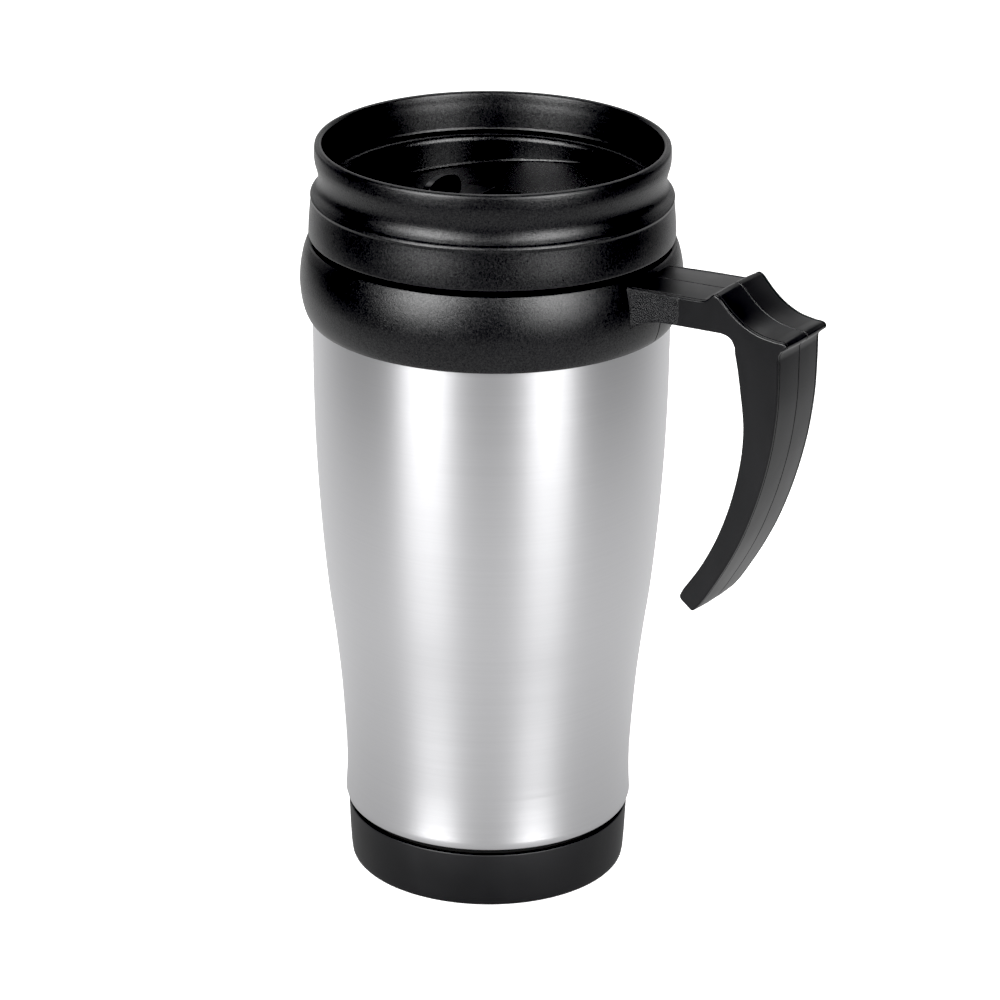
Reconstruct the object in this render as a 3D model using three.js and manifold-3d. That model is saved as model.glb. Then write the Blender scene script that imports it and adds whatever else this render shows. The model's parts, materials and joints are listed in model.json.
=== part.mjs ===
// Insulated travel mug: a brushed steel sleeve clamped between a plastic collar and a plastic base
// cup round a plastic inner cup, with a hook handle and a screw lid that has a sliding sip closure.
//
// Millimetres, +Z up. The origin is on the mug's axis, at the face that it stands on. The handle
// points along +X and the sip hole along -X.

import * as THREE from "three";
import { mergeVertices } from "three/addons/utils/BufferGeometryUtils.js";
import Module from "manifold-3d";

const wasm = await Module();
wasm.setup();

// ---------------------------------------------------------------- driving dimensions

const SEGMENTS = 40; // facets round each turned piece
const FIT = 0.3; // gap between pieces that touch
const SEAL_FIT = 0.1; // gap between a seal and what it seals
const HEIGHT = 175; // mug with its lid screwed down

const SHELL_WALL = 0.6;
const SHELL_BOTTOM = 15;
const SHELL_TOP = 138;

const BASE_TOP = 13.6;
const BASE_RADIUS = 32.6;
const SPIGOT_RADIUS = 31.9; // the part of the base cup that plugs into the sleeve
const SPIGOT_TOP = 26;
const SCREW_SEAT = 4.2; // height of the seat that the base screw clamps
const PAD_RADIUS = 28;
const PAD_THICKNESS = 1.3;

const LINER_WALL = 1.6;
const LINER_FLOOR = 21.6;
const LINER_RIM = 142.3;
const FLANGE_THICKNESS = 1.3;
const FLANGE_RADIUS = 37.8;

const COLLAR_BOTTOM = 134.8;
const COLLAR_TOP = 152.6;
const COLLAR_BORE = 39.2;
const COLLAR_SEAT = 140.2; // ledge inside the collar that carries the inner cup's flange
const SLEEVE_STOP = 139; // top of the groove that takes the sleeve's edge

const THREAD_LEAD = 8; // rise for one turn of the lid
const THREAD_STARTS = 2;
const THREAD_DEPTH = 1.1;
const SKIRT_RADIUS = 37.7; // lid skirt, under its thread
const SKIRT_BOTTOM = 144;

const LID_BOTTOM = 153.3;
const LEDGE_HEIGHT = 166.4; // seat of the lid cup inside the lid ring
const DISH_RADIUS = 34.5;
const DISH_SLOPE = 0.085; // the lid floor drains towards the sip hole
const DISH_HEIGHT = 160.9; // lid floor on the axis
const DISH_THICKNESS = 2.2;
const TRACK_DEPTH = 0.7; // recess that the slider runs in
const SEAT_DEPTH = 1.3; // recess that the sip seal sits in

const SLIDE_TRAVEL = 11;
const SLIDER_TIP = -30.4; // end of the slider over the sip hole, when it is closed
const SLIDER_LENGTH = 26.4;
const SLIDER_WIDTH = 15.4;
const TAB_PLACE = -13.5;
const TAB_HEIGHT = 4.6;
const NECK_PLACE = -17.1; // snap neck that holds the slider and its clip together
const NECK_LENGTH = 3.6;
const NECK_WIDTH = 3;
const SIP_PLACE = -25.2;
const SIP_LENGTH = 5.6;
const SIP_WIDTH = 11;
const VENT_PLACE = 24;

const HANDLE_WIDTH = 17.4;
const HANDLE_SEAM = 0.1; // half the gap between the handle's halves
const HANDLE_WALL = 2;

// ---------------------------------------------------------------- materials

const material = (color, roughness, metalness = 0) =>
  new THREE.MeshStandardMaterial({ color, roughness, metalness });

const brushedSteel = material(0xc4c5c7, 0.32, 1);
const grainedPolypropylene = material(0x17171a, 0.5);
const satinPolypropylene = material(0x1b1b1d, 0.38);
const linerPolypropylene = material(0x202022, 0.45);
const silicone = material(0x2a2a2c, 0.7);
const foamRubber = material(0x1c1c1c, 0.9);
const zincPlatedSteel = material(0xb0b2b4, 0.35, 1);

// ---------------------------------------------------------------- shape helpers

const points = (pairs) => pairs.map(([x, y]) => new THREE.Vector2(x, y));

// Turns an outline of [radius, height] pairs round the Z axis, going anticlockwise with the radius
// to the right. It starts and ends on the axis, or it is closed by joining its ends.
function turned(outline, segments = SEGMENTS) {
  const closed = outline[0][0] === 0 ? outline : [...outline, outline[0]];
  return new THREE.LatheGeometry(points(closed), segments).rotateX(Math.PI / 2);
}

// A washer with a rectangular section.
const washer = (inner, outer, low, high, segments) =>
  turned([[inner, low], [outer, low], [outer, high], [inner, high]], segments);

// A closed geometry as a manifold-3d solid.
function solid(geometry) {
  const bare = geometry.clone();
  bare.deleteAttribute("normal");
  bare.deleteAttribute("uv");
  const merged = mergeVertices(bare, 1e-4);
  const corners = merged.index.array;
  const kept = [];
  for (let i = 0; i < corners.length; i += 3) {
    const [a, b, c] = corners.subarray(i, i + 3);
    if (a !== b && b !== c && c !== a) kept.push(a, b, c);
  }
  const vertProperties = merged.attributes.position.array;
  return new wasm.Manifold(
    new wasm.Mesh({ numProp: 3, vertProperties, triVerts: new Uint32Array(kept) }),
  );
}

// A manifold-3d solid as a geometry.
function surface(made) {
  const { vertProperties, triVerts } = made.getMesh();
  const geometry = new THREE.BufferGeometry();
  geometry.setAttribute("position", new THREE.BufferAttribute(vertProperties, 3));
  geometry.setIndex(new THREE.BufferAttribute(triVerts, 1));
  geometry.computeVertexNormals();
  return geometry;
}

// A block between two corners.
function block([x0, y0, z0], [x1, y1, z1]) {
  const geometry = new THREE.BoxGeometry(x1 - x0, y1 - y0, z1 - z0);
  return geometry.translate((x0 + x1) / 2, (y0 + y1) / 2, (z0 + z1) / 2);
}

// A round bar along Z.
function bar(radius, bottom, top, sides, x = 0) {
  const geometry = new THREE.CylinderGeometry(radius, radius, top - bottom, sides);
  return geometry.rotateX(Math.PI / 2).translate(x, 0, (bottom + top) / 2);
}

// A slot with round ends along Y, raised along Z.
function oval(x, length, width, bottom, top) {
  const r = length / 2;
  const outline = new THREE.Shape();
  outline.absarc(x, width / 2 - r, r, 0, Math.PI);
  outline.absarc(x, r - width / 2, r, Math.PI, 2 * Math.PI);
  const depth = top - bottom;
  const raised = new THREE.ExtrudeGeometry(outline, { depth, bevelEnabled: false, curveSegments: 8 });
  return raised.translate(0, 0, bottom);
}

// A flat shape drawn in X and Z, with its thickness along Y from near to far.
function slab(shape, near, far) {
  const depth = far - near;
  const raised = new THREE.ExtrudeGeometry(shape, { depth, bevelEnabled: false, curveSegments: 4 });
  return raised.rotateX(Math.PI / 2).translate(0, far, 0);
}

// One helical thread ridge on a cylinder. A positive depth stands out, a negative one stands in.
// The ridge is extruded straight and then wound round the axis, and its ends fade into the wall.
function ridge(radius, depth, bottom, turns, start) {
  const side = Math.sign(depth);
  const root = 0.4; // how far the ridge reaches into its wall
  const base = [[-side, -root * side], [side, -root * side]];
  const shape = new THREE.Shape(points([...base, [side / 2, depth], [-side / 2, depth]]));
  const steps = Math.round(turns * SEGMENTS);
  const wound = new THREE.ExtrudeGeometry(shape, { depth: turns, steps, bevelEnabled: false });
  const place = wound.attributes.position;
  for (let i = 0; i < place.count; i++) {
    const along = place.getZ(i);
    const out = place.getY(i);
    const fade = THREE.MathUtils.smoothstep(Math.min(along, turns - along), 0, 0.1);
    const r = radius + (out * side > 0 ? out * fade : out);
    const angle = 2 * Math.PI * (start + along);
    const z = bottom + THREAD_LEAD * along + place.getX(i);
    place.setXYZ(i, r * Math.cos(angle), r * Math.sin(angle), z);
  }
  return wound;
}

// All the starts of a thread, on their wall.
function threaded(wall, radius, depth, bottom, turns) {
  let made = solid(wall);
  for (let i = 0; i < THREAD_STARTS; i++)
    made = made.add(solid(ridge(radius, depth, bottom, turns, i / THREAD_STARTS)));
  return made;
}

function part(name, geometry, finish) {
  const mesh = new THREE.Mesh(geometry, finish);
  mesh.name = name;
  return mesh;
}

// ---------------------------------------------------------------- sleeve, inner cup and base

// Outside of the steel sleeve: a waisted foot that flares up to a straight shoulder.
const SHELL_OUTLINE = [
  [33.5, 16.2],
  [33.25, 23],
  [33.6, 33],
  [34.9, 49],
  [36.85, 65],
  [38.45, 80],
  [39.6, 96],
  [40.3, 112],
  [40.52, 128],
  [40.55, SHELL_TOP],
];

const inward = (outline, thickness) => outline.map(([r, z]) => [r - thickness, z]).reverse();

function outerShell() {
  const curl = [[32.2, 15.5], [32.2, SHELL_BOTTOM], [32.9, SHELL_BOTTOM], [33.35, 15.5]];
  const wall = [...SHELL_OUTLINE, ...inward(SHELL_OUTLINE, SHELL_WALL)];
  return part("outer_shell", turned([...curl, ...wall]), brushedSteel);
}

// Outside of the inner cup. The space between it and the sleeve is the mug's insulation.
const LINER_OUTLINE = [
  [28.4, 23.4],
  [30.3, 29],
  [31.7, 49],
  [33.4, 66],
  [34.8, 84],
  [35.8, 104],
  [36.2, 126],
];

// Inner cup: it hangs from the collar by its flange, and takes the base screw in a boss below.
function innerLiner() {
  const boss = [[0, 15.8], [1.75, 15.8], [1.75, 7.2], [4.2, 7.2], [4.2, LINER_FLOOR - 2]];
  const low = LINER_RIM - FLANGE_THICKNESS;
  const flange = [[36.2, low], [FLANGE_RADIUS, low], [FLANGE_RADIUS, LINER_RIM], [34.6, LINER_RIM]];
  const floor = [[24, LINER_FLOOR], [0, LINER_FLOOR]];
  const outside = [...boss, [24.8, LINER_FLOOR - 1.7], ...LINER_OUTLINE];
  const inside = [...inward(LINER_OUTLINE.slice(1), LINER_WALL), [26.9, 24.4], ...floor];
  return part("inner_liner", turned([...outside, ...flange, ...inside]), linerPolypropylene);
}

// Flat gasket between the inner cup's flange and the ledge in the collar.
function linerSeal() {
  const high = LINER_RIM - FLANGE_THICKNESS - SEAL_FIT;
  return part("liner_seal", washer(36.7, 37.7, COLLAR_SEAT + SEAL_FIT, high), silicone);
}

// Ring between the sleeve's top edge and the end of its groove in the collar.
function sleeveSeal() {
  return part("sleeve_seal", washer(39.95, 40.6, SHELL_TOP + SEAL_FIT, SLEEVE_STOP - SEAL_FIT), silicone);
}

// Base cup: visible skirt, spigot inside the sleeve, and a screw seat in the middle.
function baseCup() {
  const recess = PAD_THICKNESS + FIT;
  const rim = PAD_RADIUS + FIT;
  const foot = [[1.9, SCREW_SEAT], [4.6, SCREW_SEAT], [4.6, recess], [rim, recess], [rim, 0.35]];
  const skirt = [[30.6, 0.35], [31.6, 0.7], [32.05, 1.6], [BASE_RADIUS, BASE_TOP - 0.3], [32.3, BASE_TOP]];
  const spigot = [[SPIGOT_RADIUS, BASE_TOP], [SPIGOT_RADIUS, SPIGOT_TOP], [30.4, SPIGOT_TOP], [30.1, 3.6]];
  const seat = [[6.6, 3.6], [6.6, 10.5], [4.6, 10.5], [4.6, 6.4], [1.9, 6.4]];
  return part("base_cup", turned([...foot, ...skirt, ...spigot, ...seat]), satinPolypropylene);
}

// Ring that closes the joint between the sleeve's curled edge and the base cup.
function baseSeal() {
  return part("base_seal", washer(32, 32.4, BASE_TOP + SEAL_FIT, SHELL_BOTTOM - SEAL_FIT), silicone);
}

// Self-tapping screw that pulls the base cup and the inner cup together, with the sleeve between.
function baseScrew() {
  const head = [[0, 2.6], [0.9, 1.9], [3, 1.9], [3.6, 2.4], [3.6, 3.4]];
  const shank = [[1.55, 3.4], [1.55, 13.5], [0, 15.2]];
  return part("base_screw", turned([...head, ...shank], 20), zincPlatedSteel);
}

function screwWasher() {
  return part("screw_washer", washer(1.9, 4, 3.5, SCREW_SEAT - SEAL_FIT, 20), silicone);
}

function basePad() {
  const edge = [[PAD_RADIUS - 0.4, 0], [PAD_RADIUS, 0.4], [PAD_RADIUS, PAD_THICKNESS]];
  return part("base_pad", turned([[0, 0], ...edge, [0, PAD_THICKNESS]]), foamRubber);
}

// ---------------------------------------------------------------- collar and handle

const COLLAR_OUTLINE = [
  [41.3, COLLAR_BOTTOM],
  [42, 135.7],
  [42.75, 138],
  [43.2, 140.6],
  [43.38, 143.5],
  [43.1, 146.8],
  [42.45, 150],
  [41.7, 152.2],
];

// A tongue on each half of the handle sits in a slot in the collar.
const TONGUE = { from: 40.8, to: 44, near: 2.3, far: 6.1, low: 148.2, high: 149.8 };

function tongue(side, gap) {
  const [near, far] = [TONGUE.near - gap, TONGUE.far + gap];
  const [right, left] = side > 0 ? [near, far] : [-far, -near];
  return block([TONGUE.from - gap, right, TONGUE.low - gap], [TONGUE.to, left, TONGUE.high + gap]);
}

// Collar: a round bulge outside, a threaded bore inside, a ledge below the bore for the inner
// cup's flange, and a groove round its underside for the sleeve's edge.
function collar() {
  const bore = [[41.2, COLLAR_TOP], [39.6, COLLAR_TOP], [COLLAR_BORE, 152.2], [COLLAR_BORE, COLLAR_SEAT]];
  const ledge = [[36.5, COLLAR_SEAT], [36.5, SLEEVE_STOP], [38.2, SLEEVE_STOP], [38.2, 135.8]];
  const groove = [[39.65, 135.8], [39.65, SLEEVE_STOP], [40.85, SLEEVE_STOP], [40.85, COLLAR_BOTTOM]];
  const wall = turned([...COLLAR_OUTLINE, ...bore, ...ledge, ...groove]);
  let made = threaded(wall, COLLAR_BORE, -THREAD_DEPTH, SKIRT_BOTTOM + 2.7, 0.6);
  for (const side of [-1, 1]) made = made.subtract(solid(tongue(side, FIT)));
  return part("collar", surface(made), grainedPolypropylene);
}

// Side view of the handle, in X and Z: an arm, a scooped thumb rest with a lip, and a hooked grip.
const GRIP_OUTSIDE = [
  [79.1, 142.4],
  [79.15, 133],
  [78.7, 124],
  [76.9, 114],
  [73.6, 103],
  [68.9, 92.3],
  [63.6, 83.2],
];
const GRIP_INSIDE = [
  [58, 84.2],
  [62.9, 91.8],
  [67.4, 102],
  [70.3, 112.5],
  [71.4, 122.5],
  [70.5, 132.5],
  [69, 141],
];

function handleSide() {
  const side = new THREE.Shape();
  side.moveTo(41, 150.7);
  side.lineTo(60.2, 151.6);
  side.quadraticCurveTo(61.2, 151.7, 61.8, 152.5);
  side.quadraticCurveTo(63.2, 154.6, 64.6, 152.7);
  side.quadraticCurveTo(69.8, 145.7, 78.6, 145.9);
  side.quadraticCurveTo(81.2, 146.3, 81.1, 145);
  side.quadraticCurveTo(80.7, 143.9, 79.6, 143.7);
  side.quadraticCurveTo(79.1, 143.4, ...GRIP_OUTSIDE[0]);
  for (const [x, z] of GRIP_OUTSIDE) side.lineTo(x, z);
  side.lineTo(61.3, 79.6);
  side.quadraticCurveTo(59.8, 77.6, 58.6, 79);
  side.lineTo(57.1, 80.4);
  side.quadraticCurveTo(56, 81.5, 56.8, 82.6);
  for (const [x, z] of GRIP_INSIDE) side.lineTo(x, z);
  side.quadraticCurveTo(68, 145.4, 63.8, 145.4);
  side.lineTo(50.5, 145.1);
  side.quadraticCurveTo(45.8, 144.9, 43.4, 142.2);
  side.lineTo(41, 141.4);
  return side;
}

// Hollow inside each half of the grip, between its inner and outer walls.
function gripPocket() {
  const inside = points(GRIP_INSIDE).reverse();
  const between = (share) => points(GRIP_OUTSIDE).map((p, i) => p.lerp(inside[i], share)).slice(1, -1);
  return new THREE.Shape([...between(0.26), ...between(0.74).reverse()]);
}

// Pins on the left half fit the sockets in the right half. Each is [X, Z].
const PINS = [[73.8, 139], [62.4, 86.6]];

function pin([x, z], radius, near, far) {
  const round = new THREE.CylinderGeometry(radius, radius, far - near, 10);
  return round.translate(x, (near + far) / 2, z);
}

function handleHalf(side) {
  const half = HANDLE_WIDTH / 2;
  const [near, far] = side > 0 ? [HANDLE_SEAM, half] : [-half, -HANDLE_SEAM];
  const hollow = side > 0 ? [-1, half - HANDLE_WALL] : [HANDLE_WALL - half, 1];
  const bulge = COLLAR_OUTLINE.map(([r, z]) => [r + FIT, z]);
  const core = turned([[0, COLLAR_BOTTOM], ...bulge, [0, bulge.at(-1)[1]]]);
  let made = solid(slab(handleSide(), near, far)).subtract(solid(core));
  made = made.add(solid(tongue(side, 0))).subtract(solid(slab(gripPocket(), ...hollow)));
  for (const place of PINS)
    if (side > 0) made = made.subtract(solid(pin(place, 1.4, -1, 3.6)));
    else made = made.add(solid(pin(place, 1.1, -4, 3)));
  const name = side > 0 ? "handle_half_far" : "handle_half_near";
  return part(name, surface(made), satinPolypropylene);
}

// ---------------------------------------------------------------- lid

// Lid ring: the visible rim, finger groove and band. It is open below, round the lid cup.
function lidRing() {
  const band = [[40.9, LID_BOTTOM], [41.35, 153.9], [41.2, 157], [40.8, 161.6], [40.7, 163]];
  const groove = [[39.9, 164], [39.3, 165.4], [39.15, 167.2], [39.5, 169.4], [39.95, 171.4]];
  const rim = [[39.95, 173.9], [39.65, 174.7], [39.1, HEIGHT], [38.5, 174.7], [38.2, 174]];
  const step = [[37.4, LEDGE_HEIGHT], [37.75, LEDGE_HEIGHT], [37.75, 163.5], [38.6, 162]];
  const outline = [...band, ...groove, ...rim, ...step, [38.6, LID_BOTTOM]];
  return part("lid_ring", turned(outline), grainedPolypropylene);
}

// Everything on the lid's draining floor is placed in this tilted frame: Z is 0 on the floor.
function floorFrame() {
  const frame = new THREE.Group();
  frame.position.z = DISH_HEIGHT;
  frame.rotation.y = -Math.atan(DISH_SLOPE);
  frame.updateMatrix();
  return frame;
}

// Lid cup: a dish with a ledge that fits the lid ring, on a threaded skirt.
function lidCup() {
  const skirt = [[35.9, SKIRT_BOTTOM], [SKIRT_RADIUS, SKIRT_BOTTOM], [SKIRT_RADIUS, 152.6], [36.4, 154.2]];
  const ledge = [[36.4, 163.9], [37.4, 163.9], [37.4, LEDGE_HEIGHT - FIT], [35.6, 165.2], [34.8, 164.8]];
  const well = [[DISH_RADIUS, 164.2], [DISH_RADIUS, 152], [35.9, 150.5]];
  const frame = floorFrame();
  const tilted = (geometry) => solid(geometry.applyMatrix4(frame.matrix));
  const half = SLIDER_WIDTH / 2 + FIT;
  const neck = [NECK_PLACE - NECK_LENGTH / 2 - 0.4, NECK_PLACE + NECK_LENGTH / 2 + SLIDE_TRAVEL + 0.4];
  const end = SLIDER_TIP + SLIDER_LENGTH + SLIDE_TRAVEL;
  const track = block([SLIDER_TIP - 0.4, -half, -TRACK_DEPTH], [end + 0.4, half, 2]);
  const slot = block([neck[0], -NECK_WIDTH / 2 - FIT, -4], [neck[1], NECK_WIDTH / 2 + FIT, 2]);
  const sip = oval(SIP_PLACE, SIP_LENGTH, SIP_WIDTH, -4, 2);
  const seat = oval(SIP_PLACE, SIP_LENGTH + 3, SIP_WIDTH + 3, -SEAT_DEPTH, 2);
  const vent = bar(1.2, -4, 2, 12, VENT_PLACE);
  let floor = tilted(bar(35.3, -DISH_THICKNESS, 0, SEGMENTS));
  for (const cut of [track, slot, sip, seat, vent]) floor = floor.subtract(tilted(cut));
  const wall = turned([...skirt, ...ledge, ...well]);
  const made = threaded(wall, SKIRT_RADIUS, THREAD_DEPTH, SKIRT_BOTTOM + 1, 0.75).add(floor);
  return part("lid_cup", surface(made), satinPolypropylene);
}

// Gasket under the lid's skirt. It seals on the inner cup's flange.
function lidGasket() {
  const low = LINER_RIM + SEAL_FIT;
  const high = SKIRT_BOTTOM - SEAL_FIT;
  const outline = [[36.3, low], [37, low], [37.4, low + 0.4], [37.4, high], [36, high], [36, low + 0.3]];
  return part("lid_gasket", turned(outline), silicone);
}

// Oval gasket in the lid floor, round the sip hole and under the slider.
function sipSeal() {
  const low = SEAL_FIT / 2 - SEAT_DEPTH;
  const high = SEAL_FIT - TRACK_DEPTH;
  const whole = solid(oval(SIP_PLACE, SIP_LENGTH + 2.4, SIP_WIDTH + 2.4, low, high));
  const hole = solid(oval(SIP_PLACE, SIP_LENGTH + 0.6, SIP_WIDTH + 0.6, low - 1, high + 1));
  return part("sip_seal", surface(whole.subtract(hole)), silicone);
}

// Slider: a plate with a thumb tab on top, and a snap neck with barbs below.
function slider() {
  const half = SLIDER_WIDTH / 2;
  const foot = half - 0.4;
  const plate = block([SLIDER_TIP, -half, -0.5], [SLIDER_TIP + SLIDER_LENGTH, half, 0.9]);
  const dome = new THREE.Shape();
  dome.moveTo(-foot, 0);
  dome.lineTo(-foot, 1.6);
  dome.quadraticCurveTo(-foot + 0.2, TAB_HEIGHT, 0, TAB_HEIGHT);
  dome.quadraticCurveTo(foot - 0.2, TAB_HEIGHT, foot, 1.6);
  dome.lineTo(foot, 0);
  const tab = slab(dome, -1, 1).rotateZ(Math.PI / 2).translate(TAB_PLACE, 0, 0);
  const [reach, wide] = [NECK_LENGTH / 2, NECK_WIDTH / 2];
  const neck = block([NECK_PLACE - reach, -wide, -4.2], [NECK_PLACE + reach, wide, 0]);
  const barb = block([NECK_PLACE - reach - 0.9, -wide, -4.7], [NECK_PLACE + reach + 0.9, wide, -3.85]);
  const made = [tab, neck, barb].reduce((whole, piece) => whole.add(solid(piece)), solid(plate));
  return part("slider", surface(made), satinPolypropylene);
}

// Clip under the lid floor. The slider's neck snaps through it.
function sliderClip() {
  const [reach, wide] = [NECK_LENGTH / 2 + FIT, NECK_WIDTH / 2 + FIT];
  const plate = solid(block([NECK_PLACE - 5, -5, -3.7], [NECK_PLACE + 5, 5, -2.45]));
  const hole = solid(block([NECK_PLACE - reach, -wide, -6], [NECK_PLACE + reach, wide, 0]));
  return part("slider_clip", surface(plate.subtract(hole)), satinPolypropylene);
}

// ---------------------------------------------------------------- assembly

const mug = new THREE.Group();
mug.add(outerShell(), sleeveSeal(), innerLiner(), linerSeal());
mug.add(baseCup(), baseSeal(), baseScrew(), screwWasher(), basePad());
mug.add(collar(), handleHalf(-1), handleHalf(1));
mug.add(lidRing(), lidCup(), lidGasket());

const onFloor = floorFrame();
onFloor.add(sipSeal(), slider(), sliderClip());
mug.add(onFloor);

export default mug;
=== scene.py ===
"""Insulated travel mug: brushed steel sleeve, moulded collar, hook handle, base and screw lid.

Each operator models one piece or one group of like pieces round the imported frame. Outlines are in
millimetres, as distance from the mug's axis and height above the table. The handle points along +X
and the sip hole along -X.
"""

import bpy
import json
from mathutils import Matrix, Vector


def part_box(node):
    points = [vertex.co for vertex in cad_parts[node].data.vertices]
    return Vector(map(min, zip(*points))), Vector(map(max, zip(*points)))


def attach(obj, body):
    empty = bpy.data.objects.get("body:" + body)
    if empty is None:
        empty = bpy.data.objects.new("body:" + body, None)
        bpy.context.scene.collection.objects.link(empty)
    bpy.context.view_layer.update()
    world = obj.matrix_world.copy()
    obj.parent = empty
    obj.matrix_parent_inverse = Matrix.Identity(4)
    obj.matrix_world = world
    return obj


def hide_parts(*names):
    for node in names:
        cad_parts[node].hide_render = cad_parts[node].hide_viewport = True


bl_info = {
    "name": "Insulated Travel Mug",
    "version": (1, 0, 0),
    "blender": (4, 5, 0),
    "location": "View3D > Sidebar > Travel Mug",
    "description": "Models a steel travel mug with a hook handle and a screw lid",
    "category": "Add Mesh",
}

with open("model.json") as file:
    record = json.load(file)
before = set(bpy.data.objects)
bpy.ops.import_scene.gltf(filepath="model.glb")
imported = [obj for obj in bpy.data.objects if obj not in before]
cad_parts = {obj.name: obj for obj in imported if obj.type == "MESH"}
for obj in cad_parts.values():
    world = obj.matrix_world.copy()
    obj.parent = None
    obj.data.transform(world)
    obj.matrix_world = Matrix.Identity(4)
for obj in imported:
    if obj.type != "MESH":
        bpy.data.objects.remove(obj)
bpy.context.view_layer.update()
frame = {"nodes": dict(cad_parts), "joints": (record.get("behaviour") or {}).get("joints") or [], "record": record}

import json
from math import atan, cos, hypot, pi, radians, sin, tau

import bmesh
import bpy
from bpy.props import FloatProperty, FloatVectorProperty, IntProperty, PointerProperty
from mathutils import Quaternion, Vector

MM = 0.001


def levels(node):
    """Lowest and highest level of a CAD node, in millimetres."""
    low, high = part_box(node)
    return low.z / MM, high.z / MM


# ------------------------------------------------------------------------------------------------
# Driving sizes
# ------------------------------------------------------------------------------------------------

BASE_LOW, SPIGOT_TOP = levels("base_cup")
SLEEVE_LOW, SLEEVE_HIGH = levels("outer_shell")
COLLAR_LOW, COLLAR_HIGH = levels("collar")
LID_LOW, LID_HIGH = levels("lid_ring")
SKIRT_LOW, LEDGE_HIGH = levels("lid_cup")
SCREW_SEAT = levels("screw_washer")[1] + 0.1
BASE_TOP = levels("base_seal")[0] - 0.1
LINER_RIM = levels("inner_liner")[1]

BORE = 39.2  # collar bore, between its threads
SKIRT = 37.7  # lid skirt, between its threads
THREAD_DEPTH = 1.1
THREAD_LEAD = 8
THREAD_STARTS = 2

FLOOR_LEVEL = 160.9  # lid floor on the axis
FLOOR_TILT = atan(0.085)  # the floor drains towards the sip hole
FLOOR_THICKNESS = 2.2
WELL = 34.5
SIP = -25.2
VENT = 24

SLIDE_TRAVEL = frame["joints"][-1]["range_m"][1] / MM
SLIDER_TIP = -30.4
SLIDER_LENGTH = 26.4
SLIDER_WIDTH = 15.4
TAB = -13.5
NECK = -17.1

HALF_WIDTH = 8.7  # handle, from its seam to its side


def linear(code):
    """A colour from sRGB hex to linear light."""
    channels = [int(code[i : i + 2], 16) / 255 for i in (0, 2, 4)]
    return [c / 12.92 if c <= 0.04045 else ((c + 0.055) / 1.055) ** 2.4 for c in channels]


class MugSizes(bpy.types.PropertyGroup):
    """Sizes of the details that the frame leaves to the finished pieces"""

    facets: IntProperty(name="Facets", description="Facets round each turned piece", default=128, min=32)
    fillet: FloatProperty(
        name="Moulded Edge",
        description="Radius on the handle's outer edges",
        default=0.4 * MM,
        unit="LENGTH",
    )
    crown: FloatProperty(
        name="Handle Crown",
        description="How far the handle's faces fall away from its seam",
        default=0.25 * MM,
        unit="LENGTH",
    )
    seam: FloatProperty(
        name="Handle Seam",
        description="Half the gap between the handle's halves",
        default=0.09 * MM,
        unit="LENGTH",
    )
    groove: FloatProperty(
        name="Side Groove",
        description="Depth of the witness groove beside the handle's edges",
        default=0.3 * MM,
        unit="LENGTH",
    )
    flare: FloatProperty(
        name="Handle Flare",
        description="Width of the handle's crest as a share of the grip's width",
        default=1.14,
    )
    grain: FloatProperty(
        name="Grain",
        description="Width of one pit in the spark-eroded grain",
        default=0.45 * MM,
        unit="LENGTH",
    )


class MugColours(bpy.types.PropertyGroup):
    """Base colours of the mug's finishes"""

    steel: FloatVectorProperty(
        name="Steel",
        description="Brushed stainless steel",
        subtype="COLOR",
        default=linear("D1D1D3"),
    )
    grained: FloatVectorProperty(
        name="Grained Plastic",
        description="Black polypropylene of the collar and the lid",
        subtype="COLOR",
        default=linear("08080A"),
    )
    satin: FloatVectorProperty(
        name="Satin Plastic",
        description="Black polypropylene of the handle",
        subtype="COLOR",
        default=linear("0A0A0C"),
    )
    base: FloatVectorProperty(
        name="Base Plastic",
        description="Black polypropylene of the base",
        subtype="COLOR",
        default=linear("0A0A0C"),
    )
    seal: FloatVectorProperty(
        name="Seals",
        description="Grey silicone of the gaskets",
        subtype="COLOR",
        default=linear("3A3A3C"),
    )


def sizes():
    return bpy.context.scene.mug_sizes


def colours():
    return bpy.context.scene.mug_colours


# ------------------------------------------------------------------------------------------------
# Finishes
# ------------------------------------------------------------------------------------------------


def add(tree, kind, links=(), **settings):
    """Adds a node. Settings are its properties or its input values; links are (input, socket)."""
    made = tree.nodes.new(kind)
    for name, value in settings.items():
        if hasattr(made, name):
            setattr(made, name, value)
        else:
            made.inputs[name.replace("_", " ")].default_value = value
    for name, socket in links:
        tree.links.new(socket, made.inputs[name])
    return made


def finish_named(name, colour, **shader_settings):
    """A material with a Principled shader. Returns the material, its nodes and the shader."""
    material = bpy.data.materials.new(name)
    material.use_nodes = True
    tree = material.node_tree
    tree.nodes.clear()
    shader = add(tree, "ShaderNodeBsdfPrincipled", Base_Color=(*colour, 1), **shader_settings)
    add(tree, "ShaderNodeOutputMaterial", links=[("Surface", shader.outputs["BSDF"])])
    return material, tree, shader


def noise(tree, scale, stretch=(1, 1, 1), **settings):
    """Noise on the piece itself, in cells a metre, stretched by making an axis' scale smaller."""
    place = add(tree, "ShaderNodeTexCoord")
    mapped = add(tree, "ShaderNodeMapping", links=[("Vector", place.outputs["Object"])], Scale=stretch)
    links = [("Vector", mapped.outputs["Vector"])]
    return add(tree, "ShaderNodeTexNoise", links=links, Scale=scale, **settings).outputs["Fac"]


def spread(tree, value, low, high, start=0.3, end=0.7):
    """Maps a noise onto a range of values."""
    settings = {"From_Min": start, "From_Max": end, "To_Min": low, "To_Max": high}
    return add(tree, "ShaderNodeMapRange", links=[("Value", value)], **settings).outputs["Result"]


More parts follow.
